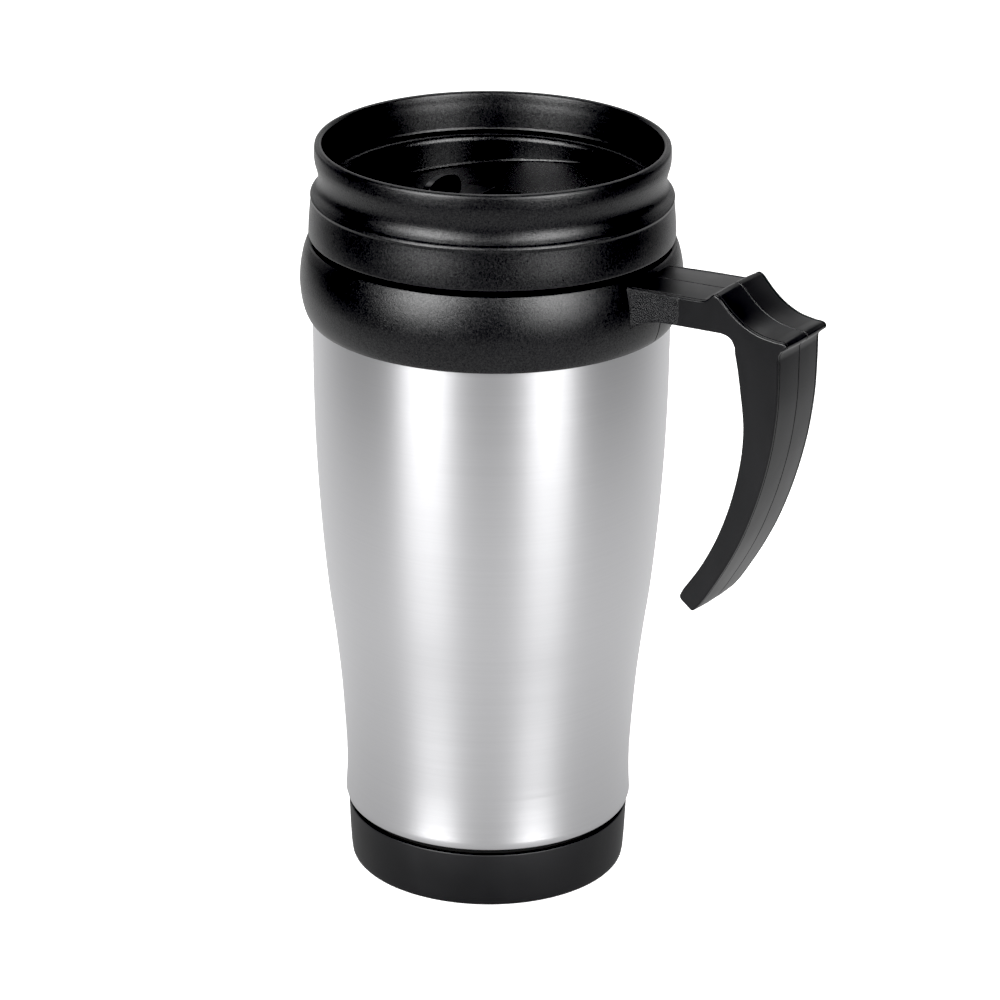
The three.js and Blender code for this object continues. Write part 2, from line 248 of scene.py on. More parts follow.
def tinted(tree, value, dark, light):
    """Mixes two tones of a colour by a noise."""
    mix = add(tree, "ShaderNodeMix", data_type="RGBA", links=[("Factor", value)])
    mix.inputs["A"].default_value = (*dark, 1)
    mix.inputs["B"].default_value = (*light, 1)
    return mix.outputs["Result"]


def relief(tree, shader, height, depth, strength=1.0, under=None):
    """Bumps the surface by a height from 0 to 1, over a depth in metres."""
    links = [("Height", height)] + ([("Normal", under)] if under else [])
    bump = add(tree, "ShaderNodeBump", links=links, Strength=strength, Distance=depth)
    tree.links.new(bump.outputs["Normal"], shader.inputs["Normal"])
    return bump.outputs["Normal"]


def shaded(colour, share):
    return [c * share for c in colour]


def brushed_stainless():
    """Drawn stainless sleeve, brushed round the body with a fine belt.

    The scratches run level, so a lamp's reflection spreads up and down into a tall soft band.
    """
    steel = colours().steel
    made, tree, shader = finish_named("brushed_stainless", steel, Metallic=1.0, Anisotropic=0.73)
    shader.inputs["Anisotropic Rotation"].default_value = 0.25
    tangent = add(tree, "ShaderNodeTangent", direction_type="RADIAL", axis="Z")
    tree.links.new(tangent.outputs["Tangent"], shader.inputs["Tangent"])
    # Belt marks are about 0.05 mm apart, drawn 0.5 mm apart and faint so that they show at all.
    streak = noise(tree, 2000, stretch=(0.012, 0.012, 1), Detail=3, Roughness=0.5)
    tone = tinted(tree, spread(tree, streak, 0, 1), shaded(steel, 0.985), shaded(steel, 1.015))
    tree.links.new(tone, shader.inputs["Base Color"])
    tree.links.new(spread(tree, streak, 0.33, 0.35), shader.inputs["Roughness"])
    return made


def spark_eroded_polypropylene(name="spark_eroded_polypropylene", smooth_below=None, roughness=0.27):
    """Black polypropylene from a spark-eroded mould: a fine even pitting that breaks highlights up.

    Below a given level the mould was polished, and the grain fades out.
    """
    black = colours().grained
    made, tree, shader = finish_named(name, black, IOR=1.49)
    pit = sizes().grain
    coarse = noise(tree, 1 / pit, Detail=2, Roughness=0.7)
    fine = noise(tree, 2.4 / pit, Detail=2, Roughness=0.6)
    patch = noise(tree, 60, Detail=3)
    links = [(0, coarse), (1, fine)]
    grain = add(tree, "ShaderNodeMath", operation="ADD", links=links).outputs["Value"]
    height = spread(tree, grain, 0, 1, start=0.6, end=1.4)
    if smooth_below is not None:
        place = add(tree, "ShaderNodeTexCoord")
        level = add(tree, "ShaderNodeSeparateXYZ", links=[("Vector", place.outputs["Object"])])
        start, end = (smooth_below - 0.8) * MM, (smooth_below + 0.8) * MM
        grained = spread(tree, level.outputs["Z"], 0, 1, start=start, end=end)
        links = [(0, height), (1, grained)]
        height = add(tree, "ShaderNodeMath", operation="MULTIPLY", links=links).outputs["Value"]
    tone = tinted(tree, spread(tree, patch, 0, 1), shaded(black, 0.8), shaded(black, 1.25))
    tree.links.new(tone, shader.inputs["Base Color"])
    gloss = spread(tree, grain, roughness, roughness + 0.12, start=0.7, end=1.3)
    tree.links.new(gloss, shader.inputs["Roughness"])
    sparkle = spread(tree, grain, 0.3, 0.7, start=0.75, end=1.25)
    tree.links.new(sparkle, shader.inputs["Specular IOR Level"])
    relief(tree, shader, height, 0.05 * MM, strength=0.5)
    return made


def satin_polypropylene(name="satin_polypropylene", colour=None, roughness=0.34, grained_within=None):
    """Black polypropylene from a smooth mould: a satin face with faint flow marks and scuffs.

    Within a given distance of the mug's axis the mould keeps its spark-eroded grain.
    """
    black = colour or colours().satin
    made, tree, shader = finish_named(name, black, IOR=1.49)
    flow = noise(tree, 55, stretch=(1, 1, 0.35), Detail=5, Roughness=0.6, Distortion=0.6)
    skin = noise(tree, 1500, Detail=2, Roughness=0.5)
    tone = tinted(tree, spread(tree, flow, 0, 1), shaded(black, 0.85), shaded(black, 1.2))
    tree.links.new(tone, shader.inputs["Base Color"])
    gloss = spread(tree, flow, roughness - 0.03, roughness + 0.06)
    tree.links.new(gloss, shader.inputs["Roughness"])
    under = relief(tree, shader, skin, 0.01 * MM, strength=0.35)
    if grained_within is not None:
        place = add(tree, "ShaderNodeTexCoord")
        reach = add(tree, "ShaderNodeSeparateXYZ", links=[("Vector", place.outputs["Object"])])
        edge = (grained_within - 0.2) * MM, (grained_within + 0.2) * MM
        near = spread(tree, reach.outputs["X"], 1, 0, start=edge[0], end=edge[1])
        links = [(0, reach.outputs["Y"])]
        aside = add(tree, "ShaderNodeMath", operation="ABSOLUTE", links=links).outputs["Value"]
        side = spread(tree, aside, 0, 1, start=(HALF_WIDTH - 0.5) * MM, end=(HALF_WIDTH - 0.3) * MM)
        links = [(0, near), (1, side)]
        mask = add(tree, "ShaderNodeMath", operation="MULTIPLY", links=links).outputs["Value"]
        pits = noise(tree, 1.2 / sizes().grain, Detail=3, Roughness=0.7)
        links = [(0, spread(tree, pits, 0, 1)), (1, mask)]
        height = add(tree, "ShaderNodeMath", operation="MULTIPLY", links=links).outputs["Value"]
        relief(tree, shader, height, 0.12 * MM, strength=0.9, under=under)
    return made


def silicone_rubber(name="silicone_rubber", colour=None):
    """Moulded silicone: soft, matte, with a slight bloom."""
    grey = colour or colours().seal
    made, tree, shader = finish_named(name, grey, IOR=1.41)
    bloom = noise(tree, 700, Detail=3)
    tree.links.new(spread(tree, bloom, 0.55, 0.75), shader.inputs["Roughness"])
    tone = tinted(tree, spread(tree, bloom, 0, 1), shaded(grey, 0.9), shaded(grey, 1.1))
    tree.links.new(tone, shader.inputs["Base Color"])
    relief(tree, shader, bloom, 0.02 * MM, strength=0.3)
    return made


def foam_rubber():
    """Closed-cell foam rubber: dull black skin with open pinholes."""
    black = linear("1C1C1C")
    made, tree, shader = finish_named("foam_rubber", black, IOR=1.5, Roughness=0.88)
    place = add(tree, "ShaderNodeTexCoord")
    links = [("Vector", place.outputs["Object"])]
    cells = add(tree, "ShaderNodeTexVoronoi", links=links, Scale=1400).outputs["Distance"]
    tone = tinted(tree, spread(tree, cells, 0, 1, start=0, end=0.6), shaded(black, 0.5), shaded(black, 1.3))
    tree.links.new(tone, shader.inputs["Base Color"])
    relief(tree, shader, cells, 0.12 * MM, strength=0.6)
    return made


def zinc_plated_steel():
    """Bright zinc plate on a cold-headed screw, with a faint bluish passivation."""
    zinc = linear("B8BCC2")
    made, tree, shader = finish_named("zinc_plated_steel", zinc, Metallic=1.0)
    patina = noise(tree, 900, Detail=4)
    tree.links.new(spread(tree, patina, 0.26, 0.4), shader.inputs["Roughness"])
    relief(tree, shader, patina, 0.01 * MM, strength=0.3)
    return made


# ------------------------------------------------------------------------------------------------
# Modelling
# ------------------------------------------------------------------------------------------------


def start_clean():
    """Leaves edit mode with nothing selected, before a new primitive is added."""
    if bpy.context.object and bpy.context.object.mode != "OBJECT":
        bpy.ops.object.mode_set(mode="OBJECT")
    bpy.ops.object.select_all(action="DESELECT")


def edit(piece):
    """Opens a piece in edit mode with nothing selected."""
    start_clean()
    piece.select_set(True)
    bpy.context.view_layer.objects.active = piece
    bpy.ops.object.mode_set(mode="EDIT")
    bpy.ops.mesh.select_all(action="DESELECT")


def select(wanted, kind="verts"):
    """Selects the vertices, edges or faces of the piece in edit mode that pass a test of place.

    The test is given each element's centre, in millimetres, and the element.
    """
    piece = bpy.context.object
    bpy.ops.mesh.select_mode(type={"verts": "VERT", "edges": "EDGE", "faces": "FACE"}[kind])
    bpy.ops.mesh.select_all(action="DESELECT")
    mesh = bmesh.from_edit_mesh(piece.data)
    for element in getattr(mesh, kind):
        corners = [element] if kind == "verts" else element.verts
        middle = sum((v.co for v in corners), Vector()) / len(corners)
        if wanted(piece.matrix_world @ middle / MM, element):
            element.select_set(True)
    mesh.select_flush_mode()
    bmesh.update_edit_mesh(piece.data)


def flowing(points, steps=6):
    """A smooth curve through [distance, height] points, with so many steps between two of them."""
    curve = []
    last = len(points) - 1
    for i in range(last):
        a, b, c, d = (Vector(points[min(max(k, 0), last)]) for k in (i - 1, i, i + 1, i + 2))
        for step in range(steps):
            t = step / steps
            bend = (2 * a - 5 * b + 4 * c - d) * t**2 + (3 * b - a - 3 * c + d) * t**3
            curve.append(tuple((2 * b + (c - a) * t + bend) / 2))
    return [*curve, tuple(points[-1])]


def draw(outline, closed=True, depth=0.0):
    """Draws an outline in the XZ plane, at a depth along Y, a vertex at a time.

    A plane collapsed to one vertex is extruded along the outline. Its points are (X, Z) in
    millimetres. A third number rounds that corner, starting so far from it.
    """
    start_clean()
    places = [Vector((p[0], depth, p[1])) for p in outline]
    bpy.ops.mesh.primitive_plane_add(size=MM, enter_editmode=True, location=places[0] * MM)
    bpy.ops.mesh.select_mode(type="VERT")
    bpy.ops.mesh.select_all(action="SELECT")
    bpy.ops.mesh.merge(type="CENTER")
    for here, there in zip(places, places[1:]):
        step = (there - here) * MM
        bpy.ops.mesh.extrude_region_move(TRANSFORM_OT_translate={"value": step})
    near = 1e-3
    if closed:
        ends = places[0], places[-1]
        select(lambda at, _: min((at - end).length for end in ends) < near)
        bpy.ops.mesh.edge_face_add()
    for rounding in sorted({p[2] for p in outline if len(p) > 2}):
        corners = [at for at, p in zip(places, outline) if len(p) > 2 and p[2] == rounding]
        select(lambda at, _: min((at - corner).length for corner in corners) < near)
        bpy.ops.mesh.bevel(affect="VERTICES", offset=rounding * MM, segments=4)
    bpy.ops.mesh.select_all(action="SELECT")


def fill(toward):
    """Fills the open outline with a face turned towards +Y or -Y, and leaves it selected."""
    bpy.ops.mesh.select_all(action="SELECT")
    bpy.ops.mesh.edge_face_add()
    bpy.ops.mesh.select_mode(type="FACE")
    face = bmesh.from_edit_mesh(bpy.context.object.data).faces
    face.ensure_lookup_table()
    if face[0].normal.y * toward < 0:
        bpy.ops.mesh.flip_normals()


def named(name, sharp=35):
    """Finishes the piece that is open: its name, its place in its mesh, and its shading."""
    bpy.ops.object.mode_set(mode="OBJECT")
    piece = bpy.context.object
    piece.name = piece.data.name = name
    bpy.ops.object.transform_apply(location=True, rotation=True, scale=True)
    bpy.ops.object.shade_smooth_by_angle(angle=radians(sharp))
    return piece


def spun(name, outline, closed=True, facets=None, sharp=35):
    """Draws an outline and spins it round the mug's axis."""
    draw(outline, closed)
    steps = facets or sizes().facets
    bpy.ops.mesh.spin(steps=steps, angle=tau, center=(0, 0, 0), axis=(0, 0, 1))
    bpy.ops.mesh.select_all(action="SELECT")
    bpy.ops.mesh.remove_doubles(threshold=0.001 * MM)
    bpy.ops.mesh.normals_make_consistent(inside=False)
    return named(name, sharp)


def apply(piece, kind, **settings):
    """Adds a modifier with its settings, and applies it."""
    start_clean()
    piece.select_set(True)
    bpy.context.view_layer.objects.active = piece
    modifier = piece.modifiers.new(kind.title(), kind)
    for name, value in settings.items():
        setattr(modifier, name, value)
    bpy.ops.object.modifier_apply(modifier=modifier.name)


def combine(piece, *others, operation="UNION"):
    """Joins other solids to a piece, or cuts them from it, and deletes them."""
    for other in others:
        apply(piece, "BOOLEAN", object=other, operation=operation, solver="EXACT")
        bpy.data.objects.remove(other)


def cut(piece, *others):
    combine(piece, *others, operation="DIFFERENCE")


def evened(piece, sharp=35):
    """Shades a piece so that its flat faces stay flat up to their rounded edges."""
    start_clean()
    piece.select_set(True)
    bpy.context.view_layer.objects.active = piece
    bpy.ops.object.shade_smooth_by_angle(angle=radians(sharp))
    apply(piece, "WEIGHTED_NORMAL", keep_sharp=True)


def block(low, high, rounding=0.0, segments=3):
    """A box between two corners in millimetres, with rounded edges."""
    start_clean()
    low, high = Vector(low), Vector(high)
    bpy.ops.mesh.primitive_cube_add(size=MM, location=(low + high) / 2 * MM)
    bpy.context.object.scale = high - low
    bpy.ops.object.transform_apply(location=True, rotation=True, scale=True)
    if rounding:
        bpy.ops.object.mode_set(mode="EDIT")
        bpy.ops.mesh.select_all(action="SELECT")
        bpy.ops.mesh.bevel(offset=rounding * MM, segments=segments)
    return named("block")


def oval(x, length, width, low, high):
    """An upright slot with round ends along Y, from a cylinder whose halves are moved apart."""
    start_clean()
    place = (x * MM, 0, (low + high) / 2 * MM)
    depth = (high - low) * MM
    bpy.ops.mesh.primitive_cylinder_add(vertices=50, radius=length / 2 * MM, depth=depth, location=place)
    bpy.ops.object.mode_set(mode="EDIT")
    reach = (width - length) / 2 * MM
    for side in (-1, 1):
        select(lambda at, _: at.y * side > 1e-4)
        bpy.ops.transform.translate(value=(0, side * reach, 0))
    return named("oval")


def tilt(piece):
    """Moves a piece that is modelled on a level floor onto the lid's draining floor."""
    start_clean()
    piece.select_set(True)
    bpy.context.view_layer.objects.active = piece
    piece.rotation_euler.y = -FLOOR_TILT
    piece.location.z = FLOOR_LEVEL * MM
    bpy.ops.object.transform_apply(location=True, rotation=True, scale=True)
    return piece


def helix(radius, depth, low, turns, start):
    """One thread ridge: a section that the Screw modifier winds up round the mug's axis."""
    root = -0.3 if depth > 0 else 0.3
    section = [(radius + root, -1), (radius + depth, -0.5), (radius + depth, 0.5), (radius + root, 1)]
    draw([(r, low + z) for r, z in section])
    ridge = named("ridge")
    steps = round(turns * 96)
    offset = THREAD_LEAD * turns * MM
    apply(ridge, "SCREW", angle=tau * turns, screw_offset=offset, steps=steps, render_steps=steps)
    ridge.rotation_euler.z = tau * start
    bpy.ops.object.transform_apply(location=True, rotation=True, scale=True)
    edit(ridge)
    bpy.ops.mesh.select_all(action="SELECT")
    bpy.ops.mesh.remove_doubles(threshold=0.001 * MM)
    bpy.ops.mesh.fill_holes(sides=4)
    bpy.ops.mesh.normals_make_consistent(inside=False)
    return named("ridge")


def settle(piece, material, slot, *nodes):
    """Gives a piece its finish, the CAD nodes that it stands for, and their body."""
    piece.data.materials.clear()
    piece.data.materials.append(material)
    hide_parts(*nodes)
    bodies = frame["record"]["behaviour"]["bodies"]
    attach(piece, next(body for body, members in bodies.items() if nodes[0] in members))


def refinish(material, *nodes):
    """Gives CAD nodes that stay as they are a finish."""
    for node in nodes:
        mesh = frame["nodes"][node].data
        mesh.materials.clear()
        mesh.materials.append(material)


# ------------------------------------------------------------------------------------------------
# Outlines that more than one piece uses
# ------------------------------------------------------------------------------------------------

SLEEVE = [
    (33.5, 16.5),
    (33.3, 20),
    (33.22, 25),
    (33.42, 30.5),
    (34.46, 45),
    (35.77, 57),
    (37.36, 69),
    (38.55, 81),
    (39.45, 93),
    (40.08, 105),
    (40.43, 117),
    (40.54, 128),
    (40.55, SLEEVE_HIGH),
]

BULGE = [
    (41.35, COLLAR_LOW),
    (42.05, 135.9),
    (42.75, 138),
    (43.2, 140.6),
    (43.38, 143.5),
    (43.12, 146.8),
    (42.5, 149.9),
    (41.85, 151.8),
]


def offset_outline(points, distance):
    """An outline moved away from the mug's axis along its own normals."""
    moved = []
    for i, (x, z) in enumerate(points):
        before, after = points[max(i - 1, 0)], points[min(i + 1, len(points) - 1)]
        run, rise = after[0] - before[0], after[1] - before[1]
        length = hypot(run, rise)
        moved.append((x + rise / length * distance, z - run / length * distance))
    return moved


# ------------------------------------------------------------------------------------------------
# Pieces
# ------------------------------------------------------------------------------------------------


class MUG_OT_sleeve(bpy.types.Operator):
    """Spin the brushed steel sleeve, with its curled lower edge"""

    bl_idname = "mug.sleeve"
    bl_label = "Steel Sleeve"

    def execute(self, context):
        outside = flowing(SLEEVE, steps=5)
        inside = [(r - 0.6, z) for r, z in reversed(outside[1:])]
        curl = [(32.2, SLEEVE_LOW + 0.5), (32.2, SLEEVE_LOW), (33.05, SLEEVE_LOW, 0.3)]
        piece = spun("steel_sleeve", [*curl, *outside, *inside])
        settle(piece, brushed_stainless(), "brushed_steel", "outer_shell")
        return {"FINISHED"}


class MUG_OT_base(bpy.types.Operator):
    """Spin the base moulding, the ring above it and the ribbed pad under it"""

    bl_idname = "mug.base"
    bl_label = "Base"

    def execute(self, context):
        foot = [(1.9, SCREW_SEAT), (4.6, SCREW_SEAT), (4.6, 1.6), (28.3, 1.6), (28.3, BASE_LOW)]
        skirt = [(31.95, BASE_LOW, 0.4), (32.2, 1.8, 0.5), (32.45, 5.5), (32.82, BASE_TOP, 0.3)]
        spigot = [(31.9, BASE_TOP), (31.9, SPIGOT_TOP, 0.4), (30.4, SPIGOT_TOP, 0.4), (30.1, 3.6)]
        seat = [(6.6, 3.6), (6.6, 10.5), (4.6, 10.5), (4.6, 6.4), (1.9, 6.4)]
        moulding = spun("base_moulding", [*foot, *skirt, *spigot, *seat])
        matte = satin_polypropylene("matte_polypropylene", colours().base, roughness=0.44)
        settle(moulding, matte, "satin_black", "base_cup")

        low, high = levels("base_seal")
        edges = [(31.92, low), (32.1, low, 0.1), (32.1, high, 0.1), (31.92, high)]
        # The ring is black silicone, and its near-black colour is also painted shade: it stands for the dark
        # shadow in the gap between sleeve and base.
        black = silicone_rubber("black_silicone", linear("020202"))
        settle(spun("sleeve_ring", edges), black, "silicone", "base_seal")

        pad_high = levels("base_pad")[1]
        under = [(0, 0)]
        for middle in range(6, 27, 4):
            lands = [(-0.8, 0), (-0.5, 0.45), (0.5, 0.45), (0.8, 0)]
            under += [(middle + r, z) for r, z in lands]
        edge = [(28, 0, 0.35), (28, pad_high, 0.2), (0, pad_high)]
        pad = spun("base_pad_ribbed", [*under, *edge], closed=False, facets=96)
        settle(pad, foam_rubber(), "foam_rubber", "base_pad")
        refinish(zinc_plated_steel(), "base_screw")
        refinish(silicone_rubber(), "screw_washer", "sleeve_seal", "liner_seal")
        return {"FINISHED"}


class MUG_OT_liner(bpy.types.Operator):
    """Spin the moulded inner cup"""

    bl_idname = "mug.liner"
    bl_label = "Inner Cup"

    def execute(self, context):
        floor, wall = 21.6, 1.6
        body = [(28.4, 23.4), (30.3, 29), (31.7, 49), (33.4, 66), (34.8, 84), (35.8, 104), (36.2, 126)]
        outside = flowing(body, steps=3)
        inside = [(r - wall, z) for r, z in reversed(flowing(body[1:], steps=3))]
        boss = [(0, 15.8), (1.75, 15.8), (1.75, 7.2), (4.2, 7.2), (4.2, floor - 2)]
        low = LINER_RIM - 1.3
        flange = [(36.2, low, 0.4), (37.8, low, 0.3), (37.8, LINER_RIM, 0.3), (34.6, LINER_RIM, 0.7)]
        bottom = [(26.9, 24.4), (24, floor, 1), (0, floor)]
        outline = [*boss, (24.8, floor - 1.7), *outside, *flange, *inside, *bottom]
        piece = spun("inner_cup", outline, closed=False)
        gloss = satin_polypropylene("moulded_liner_polypropylene", roughness=0.28)
        settle(piece, gloss, "liner_black", "inner_liner")
        return {"FINISHED"}


class MUG_OT_collar(bpy.types.Operator):
    """Spin the bulged collar, cut its mould line and wind the female thread in its bore"""

    bl_idname = "mug.collar"
    bl_label = "Collar"

    def execute(self, context):
        ledge_high, ledge_low, apron = 140.2, 139, 135.8
        outside = flowing(BULGE, steps=5)
        outside[0] = (*outside[0], 0.15)
        top = [(41.55, COLLAR_HIGH, 0.35), (39.6, COLLAR_HIGH, 0.3), (BORE, 152.1), (BORE, ledge_high)]
        ledge = [(36.5, ledge_high, 0.3), (36.5, ledge_low), (38.2, ledge_low), (38.2, apron, 0.3)]
        groove = [(39.65, apron, 0.3), (39.65, ledge_low), (40.85, ledge_low), (40.85, COLLAR_LOW)]
        piece = spun("collar_moulding", [*outside, *top, *ledge, *groove])
        for i in range(THREAD_STARTS):
            combine(piece, helix(BORE, -THREAD_DEPTH, SKIRT_LOW + 2.7, 0.6, i / THREAD_STARTS))

        # The mould's parting line is a hairline groove just behind the handle's own seam.
        skin = flowing(BULGE, steps=5)
        sliver = [*offset_outline(skin, -0.35), *reversed(offset_outline(skin, 1.5))]
        draw(sliver, depth=-0.18)
        fill(1)
        bpy.ops.mesh.extrude_region_move(TRANSFORM_OT_translate={"value": (0, 0.36 * MM, 0)})
        bpy.ops.mesh.select_all(action="SELECT")
        bpy.ops.mesh.normals_make_consistent(inside=False)
        line = named("parting_line")
        line.rotation_euler.z = radians(3.4)
        bpy.ops.object.transform_apply(location=True, rotation=True, scale=True)
        cut(piece, line)
        start_clean()
        piece.select_set(True)
        bpy.context.view_layer.objects.active = piece
        bpy.ops.object.shade_smooth_by_angle(angle=radians(32))
        material = spark_eroded_polypropylene("spark_eroded_collar", smooth_below=139.4)
        settle(piece, material, "grained_black", "collar")
        return {"FINISHED"}


class MUG_OT_handle(bpy.types.Operator):
    """Model the two halves of the hook handle, hugging the collar's bulge"""

    bl_idname = "mug.handle"
    bl_label = "Handle"

    def outline(self):
        """Side view: arm, thumb rest with its crest and lip, grip and hooked tip."""
        arm_top = [(41, 151.4), (52, 151.9), (60.2, 152.25)]
        crest = flowing([(61.3, 152.4), (62.2, 153.1), (62.9, 153.85), (63.9, 154.25), (64.9, 153.9)], 4)
        rest = flowing([(65.6, 153.3), (68.2, 150.75), (71.2, 148.6), (74.8, 147.05), (78.8, 146.4)], 6)
        lip = flowing([(79.9, 146.4), (80.95, 146.25), (81.65, 145.5), (81.4, 144.5), (80.35, 143.85)], 4)
        back = [(79.8, 142.9), (79.85, 136), (79.6, 129), (78.5, 120.5), (76.7, 112.5), (74.35, 104.8)]
        hook = [(71.3, 97), (67.6, 89.7), (63.4, 82.7), (61.4, 79.8)]
        tip = [(59.75, 77.85, 0.9), (55.75, 80.85, 1.1)]
        inner = [(57, 83.3), (61, 89.2), (64.5, 95.8), (67.2, 102.6), (69.2, 109.6), (70.6, 116.8)]
        palm = [(71.1, 123.3), (70.8, 128), (70.1, 133), (69.4, 137.8), (68.7, 141.4)]
        under = flowing([(68.6, 142.85), (67.9, 144.15), (66.8, 144.9), (65.3, 145.2)], 4)
        root = flowing([(54, 144.9), (50.5, 144.65), (47.4, 143.95), (44.9, 142.85), (43, 141.75)], 4)
        grip = flowing([*back, *hook], 4) + tip + flowing([*inner, *palm], 4)
        return [*arm_top, *crest, *rest, *lip, *grip, *under, *root, (41, 141)]

    def half(self, side):
        size = sizes()
        chamfer = 0.1
        seam, fillet = size.seam / MM + chamfer, size.fillet / MM
        side_edge = HALF_WIDTH - fillet - 0.65
        draw(self.outline(), depth=side * seam)
        fill(side)
        rise = 0.4 * side_edge - seam
        bpy.ops.mesh.extrude_region_move(TRANSFORM_OT_translate={"value": (0, side * rise * MM, 0)})
        # The faces fall away from the seam as a shallow crown.
        stages = [0.4 * side_edge, 0.75 * side_edge, side_edge]
        fall = [size.crown / MM * (y / side_edge) ** 2 for y in stages]
        for i in (1, 2):
            lean, step = fall[i] - fall[i - 1], stages[i] - stages[i - 1]
            bpy.ops.mesh.inset(thickness=lean * MM, depth=step * MM)
        # A witness groove and a rounded edge finish the side.
        bpy.ops.mesh.inset(thickness=0, depth=0.35 * MM)
        bpy.ops.mesh.inset(thickness=0, depth=0.3 * MM)
        turns = 4
        for i in range(turns):
            a, b = pi / 2 * i / turns, pi / 2 * (i + 1) / turns
            inward, outward = cos(a) - cos(b), sin(b) - sin(a)
            bpy.ops.mesh.inset(thickness=inward * fillet * MM, depth=outward * fillet * MM)
        select(lambda at, face: abs(abs(at.y) - seam) < 0.01, "faces")
        bpy.ops.mesh.inset(thickness=chamfer * MM, depth=chamfer * MM)
        bpy.ops.mesh.inset(thickness=0.25 * MM, depth=size.seam)  # the halves meet behind the seam
        band = side_edge + 0.175
        select(lambda at, face: abs(abs(at.y) - band) < 0.05 and abs(face.normal.y) < 0.5, "faces")
        shift = {"value": -size.groove, "use_even_offset": True}
        bpy.ops.mesh.extrude_region_shrink_fatten(TRANSFORM_OT_shrink_fatten=shift)
        bpy.ops.mesh.select_all(action="SELECT")
        bpy.ops.mesh.normals_make_consistent(inside=False)
        # The handle is widest at the thumb rest's crest.
        select(lambda at, _: 52 < at.x < 65 and at.z > 144)
        bpy.ops.transform.resize(
            value=(1, size.flare, 1),
            center_override=(0, 0, 0),
            use_proportional_edit=True,
            proportional_edit_falloff="SHARP",
            proportional_size=42 * MM,
        )
        piece = named("handle_near" if side < 0 else "handle_far")
        gap = offset_outline(flowing(BULGE, steps=5), 0.08)
        foot = gap[0][1] - 1
        core = spun("core", [(0, foot), (gap[0][0], foot), *gap, (0, gap[-1][1])], closed=False)
        cut(piece, core)
        return piece

    def execute(self, context):
        material = satin_polypropylene(grained_within=54.8)
        for side, node in ((-1, "handle_half_near"), (1, "handle_half_far")):
            piece = self.half(side)
            evened(piece, sharp=40)
            piece.visible_glossy = False  # keeps its dark reflection off the sleeve
            settle(piece, material, "satin_black", node)
        return {"FINISHED"}


class MUG_OT_lid(bpy.types.Operator):
    """Spin the lid's grained ring and model the cup inside it, with its floor and thread"""

    bl_idname = "mug.lid"
    bl_label = "Lid"

    def ring(self):
        band = [(40.95, LID_LOW, 0.3), (41.42, 154, 0.3), (41.3, 157), (41.05, 160), (40.8, 162.3, 0.2)]
        bead = [(40.98, 162.9, 0.15), (40.7, 163.45, 0.2)]
        cove = flowing([(40.3, 163.75), (39.5, 164.9), (39.12, 166.3), (39.15, 167.8), (39.5, 169.4)], 5)
        rim = [*flowing([(39.85, 170.6), (40, 171.8), (39.98, 173.2)], 4), (39.9, LID_HIGH, 0.9)]
        mouth = [(38.3, LID_HIGH, 0.7), (38.05, 172.6, 0.5), (37.65, 170.4), (37.55, LEDGE_HIGH + 0.8)]
        lip = [(37.5, LEDGE_HIGH + 0.5), (37.3, LEDGE_HIGH + 0.2)]
        inside = [(37.75, LEDGE_HIGH + 0.2), (37.75, 163.5), (38.6, 162), (38.6, LID_LOW)]
        return spun("lid_outer_ring", [*band, *bead, *cove, *rim, *mouth, *lip, *inside])

    def floor(self):
        """The draining floor, with a raised cove at its edge, a track, a seat and two holes."""
        start_clean()
        bpy.ops.mesh.primitive_cylinder_add(
            vertices=sizes().facets,
            radius=(WELL + 0.6) * MM,
            depth=FLOOR_THICKNESS * MM,
            location=(0, 0, -FLOOR_THICKNESS / 2 * MM),
        )
        bpy.ops.object.mode_set(mode="EDIT")
        select(lambda at, face: at.z > -0.01 and face.normal.z > 0.9, "faces")
        for thickness, depth in ((0.5, 0), (0.1, -0.04), (0.28, -0.46), (0.1, -0.04)):
            bpy.ops.mesh.inset(thickness=thickness * MM, depth=depth * MM)
        bpy.ops.mesh.select_all(action="SELECT")
        bpy.ops.transform.translate(value=(0, 0, 0.54 * MM))
        floor = named("floor")
        half = SLIDER_WIDTH / 2 + 0.3
        end = SLIDER_TIP + SLIDER_LENGTH + SLIDE_TRAVEL
        track = block((SLIDER_TIP - 0.4, -half, -0.7), (end + 0.4, half, 3))
        slot = block((NECK - 2.2, -1.8, -4), (NECK + 2.2 + SLIDE_TRAVEL, 1.8, 2))
        seat = oval(SIP, 8.6, 14, -1.3, 2)
        start_clean()
        place = (VENT * MM, 0, 0)
        bpy.ops.mesh.primitive_cylinder_add(vertices=32, radius=1.2 * MM, depth=9 * MM, location=place)
        vent = named("vent")
        cut(floor, track, seat, oval(SIP, 5.6, 11, -4, 2), slot, vent)
        return tilt(floor)

    def cup(self):
        skirt = [(35.9, SKIRT_LOW, 0.3), (SKIRT, SKIRT_LOW, 0.5), (SKIRT, 152.6), (36.4, 154.2)]
        ledge = [(36.4, 163.9), (37.4, 163.9), (37.4, LEDGE_HIGH), (36.7, LEDGE_HIGH), (WELL, 165.5, 1.3)]
        well = [(WELL, 152), (35.9, 150.5)]
        cup = spun("lid_inner_cup", [*skirt, *ledge, *well])
        combine(cup, self.floor())
        for i in range(THREAD_STARTS):
            combine(cup, helix(SKIRT, THREAD_DEPTH, SKIRT_LOW + 1, 0.75, i / THREAD_STARTS))
        evened(cup)
        return cup

    def execute(self, context):
        settle(self.ring(), spark_eroded_polypropylene(), "grained_black", "lid_ring")
        inner = spark_eroded_polypropylene("fine_eroded_polypropylene", roughness=0.19)
        settle(self.cup(), inner, "satin_black", "lid_cup")
        low, high = levels("lid_gasket")
        lips = [(36, low + 0.3), (36.3, low), (37, low, 0.2), (37.4, low + 0.4, 0.2)]
        gasket = spun("skirt_gasket", [*lips, (37.4, high), (36, high)])
        settle(gasket, silicone_rubber(), "silicone", "lid_gasket")
        return {"FINISHED"}


